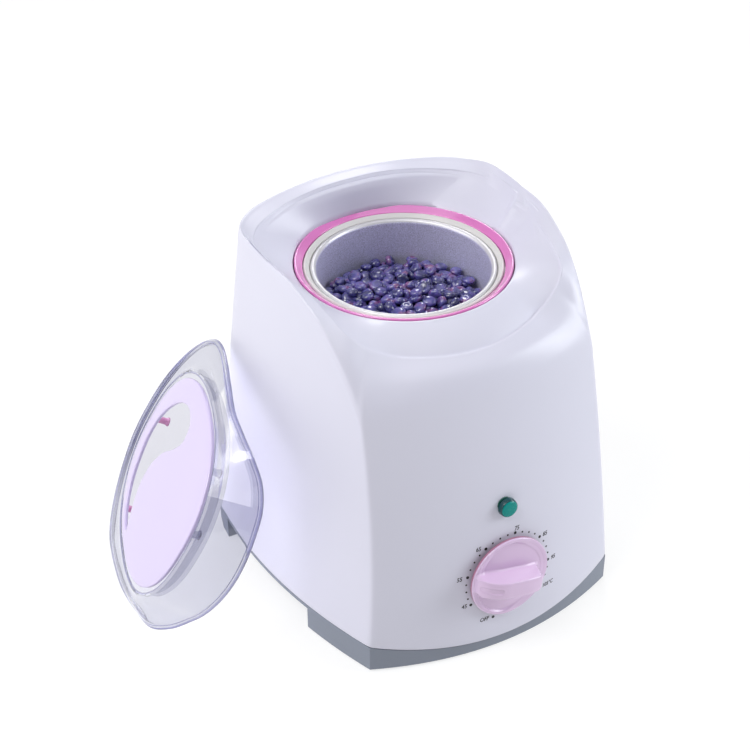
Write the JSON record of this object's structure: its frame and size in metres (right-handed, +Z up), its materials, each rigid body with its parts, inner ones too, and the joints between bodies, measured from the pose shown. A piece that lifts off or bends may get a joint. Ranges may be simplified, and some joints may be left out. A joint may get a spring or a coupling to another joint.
{
  "type": "wax warmer pot",
  "caption": "Counter-top wax warmer: tapered housing with a curved front, temperature dial and pilot lamp, lift-out pot of wax beads in a heated well, and a clear lid leaning beside it.",
  "frame": {"origin": "on the pot's axis, level with the plinth's underside to within the feet's 1.5 mm: z = 0 is the table that the rubber feet stand on", "axes": "+Z up along the pot's axis, -Y towards the dial, +X to the right of a person facing the dial; the lid leans on the -X side"},
  "size_m": [0.263, 0.2159, 0.1984],
  "materials": {
    "housing_white": "glossy moulded ABS, white with a cool tint",
    "plinth_grey": "satin moulded blue-grey plastic",
    "rubber": "matt soft rubber",
    "zinc_steel": "zinc plated steel",
    "trim_pink": "glossy translucent pink plastic",
    "aluminium": "sand-blasted aluminium",
    "pot_aluminium": "sand-blasted aluminium with a bright rolled rim",
    "collar_cream": "satin cream plastic",
    "wax": "glossy translucent blue-violet wax",
    "knob_pink": "satin pink-lilac plastic",
    "lens_green": "ribbed clear green lens",
    "lamp_dark": "dark green nylon",
    "clear_lid": "clear polystyrene",
    "plate_lilac": "satin pale pink-lilac plastic",
    "post_pink": "glossy pink plastic",
    "brass": "turned brass",
    "copper": "drawn copper",
    "mica": "mica and glass-cloth tape",
    "glass_wool": "felted glass wool",
    "ceramic": "glazed steatite",
    "thermostat_resin": "moulded phenolic resin",
    "nylon_white": "moulded nylon",
    "bush_black": "moulded black nylon",
    "wire_red": "silicone sheath",
    "wire_blue": "silicone sheath",
    "wire_white": "glass-braid sheath"
  },
  "bodies": {
    "stand": {"housing": "housing_white", "base_tray": "plinth_grey", "rubber_feet": "rubber", "base_screws": "zinc_steel", "trim_ring": "trim_pink", "heater_well": "aluminium", "heater_band": "mica", "band_clamp": "zinc_steel", "insulation_sleeve": "glass_wool", "well_spacers": "ceramic", "thermal_fuse": "brass", "sensor_bulb": "copper", "capillary": "copper", "thermostat_body": "thermostat_resin", "thermostat_bush": "brass", "bush_nut": "zinc_steel", "pilot_lens": "lens_green", "pilot_lamp": "lamp_dark", "lamp_clip": "zinc_steel", "terminal_block": "nylon_white", "terminal_screws": "brass", "inlet_bush": "bush_black", "cord_clamp": "nylon_white", "clamp_screws": "zinc_steel", "lead_live": "wire_red", "lead_lamp": "wire_blue", "lead_heater": "wire_white"},
    "dial": {"thermostat_shaft": "zinc_steel", "dial_knob": "knob_pink"},
    "pot": {"wax_pot": "pot_aluminium", "pot_collar": "collar_cream", "wax_beads": "wax"},
    "lid": {"lid_shell": "clear_lid", "lid_plate": "plate_lilac", "lid_posts": "post_pink"}
  },
  "joints": [
    {"name": "dial_turn", "type": "hinge", "parent": "stand", "child": "dial", "pos_m": [0, -0.11025, 0.0468], "axis": [0, 0.9962, -0.0872], "range_deg": [-81, 213]},
    {"name": "pot_lift", "type": "slide", "parent": "stand", "child": "pot", "axis": [0, 0, 1], "range_m": [0, 0.09]},
    {"name": "lid_lift", "type": "slide", "parent": "stand", "child": "lid", "axis": [0, 0, 1], "range_m": [0, 0.06]}
  ]
}
